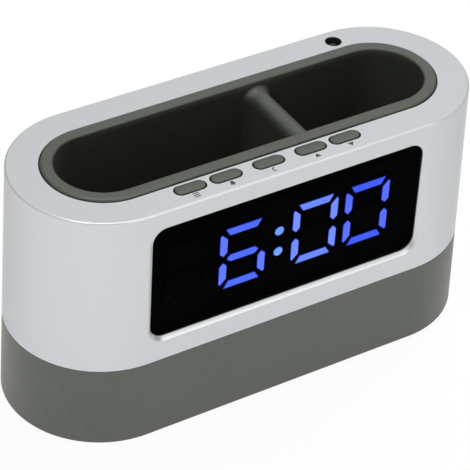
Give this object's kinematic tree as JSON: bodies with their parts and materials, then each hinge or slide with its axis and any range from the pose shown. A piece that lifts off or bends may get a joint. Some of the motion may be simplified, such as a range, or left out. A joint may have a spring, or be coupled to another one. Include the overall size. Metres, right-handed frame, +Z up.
{
  "type": "digital alarm clock",
  "caption": "Desk alarm clock in a tapered stadium case, with a lit digital display behind a dark window, push buttons on the front rim and a divided pen cup let into the top.",
  "frame": {"origin": "on the table under the middle of the case, at the underside of the feet", "axes": "+X along the case to the right as seen from the front, +Y from the display towards the back, +Z up"},
  "size_m": [0.165, 0.0636, 0.0881],
  "materials": {
    "silver": "satin silver paint on plastic",
    "grey": "fine moulded texture",
    "smoked": "polished, nearly opaque",
    "black": "matt",
    "lit": "lit light guide",
    "clear": "milky light guide",
    "board": "solder mask",
    "steel": "zinc plated",
    "nickel": "nickel plated",
    "cell": "printed sleeve, left bare",
    "rubber": "matt",
    "wire": "insulation",
    "ribbon": "flat cable"
  },
  "bodies": {
    "case": {"upper_shell": "silver", "base_shell": "grey", "pen_cup": "grey", "display_lens": "smoked", "display_reflector": "black", "hour_tens_guide": "clear", "hour_units_guide": "lit", "minute_tens_guide": "lit", "minute_units_guide": "lit", "colon_guide": "lit", "main_board": "board", "clock_chip": "black", "board_screw_low_left": "steel", "board_screw_low_right": "steel", "board_screw_high_left": "steel", "board_screw_high_right": "steel", "key_ribbon": "ribbon", "mode_switch": "steel", "alarm_switch": "steel", "snooze_switch": "steel", "up_switch": "steel", "down_switch": "steel", "key_board": "board", "key_board_screw_left": "steel", "key_board_screw_right": "steel", "light_sensor": "smoked", "sensor_board": "board", "sensor_board_screw": "steel", "battery_cell_1": "cell", "battery_cell_2": "cell", "battery_cell_3": "cell", "battery_contact_negative": "nickel", "battery_bridge_left": "nickel", "battery_bridge_right": "nickel", "battery_contact_positive": "nickel", "power_jack": "black", "power_jack_pin": "nickel", "buzzer": "black", "battery_lead": "wire", "foot_front_left": "rubber", "foot_front_right": "rubber", "foot_back_left": "rubber", "foot_back_right": "rubber", "case_screw_front_left": "steel", "case_screw_front_right": "steel", "case_screw_back_left": "steel", "case_screw_back_right": "steel", "cup_screw_left": "steel", "cup_screw_right": "steel"},
    "mode_key": {"mode_button": "grey", "mode_plunger": "black"},
    "alarm_key": {"alarm_button": "grey", "alarm_plunger": "black"},
    "snooze_key": {"snooze_button": "grey", "snooze_plunger": "black"},
    "up_key": {"up_button": "grey", "up_plunger": "black"},
    "down_key": {"down_button": "grey", "down_plunger": "black"},
    "battery_cover": {"battery_door": "grey"}
  },
  "joints": [
    {"name": "mode_press", "type": "slide", "parent": "case", "child": "mode_key", "axis": [0, 0, -1], "range_m": [0, 0.0005], "stiffness_N_per_m": 800},
    {"name": "alarm_press", "type": "slide", "parent": "case", "child": "alarm_key", "axis": [0, 0, -1], "range_m": [0, 0.0005], "stiffness_N_per_m": 800},
    {"name": "snooze_press", "type": "slide", "parent": "case", "child": "snooze_key", "axis": [0, 0, -1], "range_m": [0, 0.0005], "stiffness_N_per_m": 800},
    {"name": "up_press", "type": "slide", "parent": "case", "child": "up_key", "axis": [0, 0, -1], "range_m": [0, 0.0005], "stiffness_N_per_m": 800},
    {"name": "down_press", "type": "slide", "parent": "case", "child": "down_key", "axis": [0, 0, -1], "range_m": [0, 0.0005], "stiffness_N_per_m": 800},
    {"name": "battery_door_swing", "type": "hinge", "parent": "case", "child": "battery_cover", "pos_m": [0, -0.0186, 0.001], "axis": [-1, 0, 0], "range_deg": [0, 75]}
  ]
}
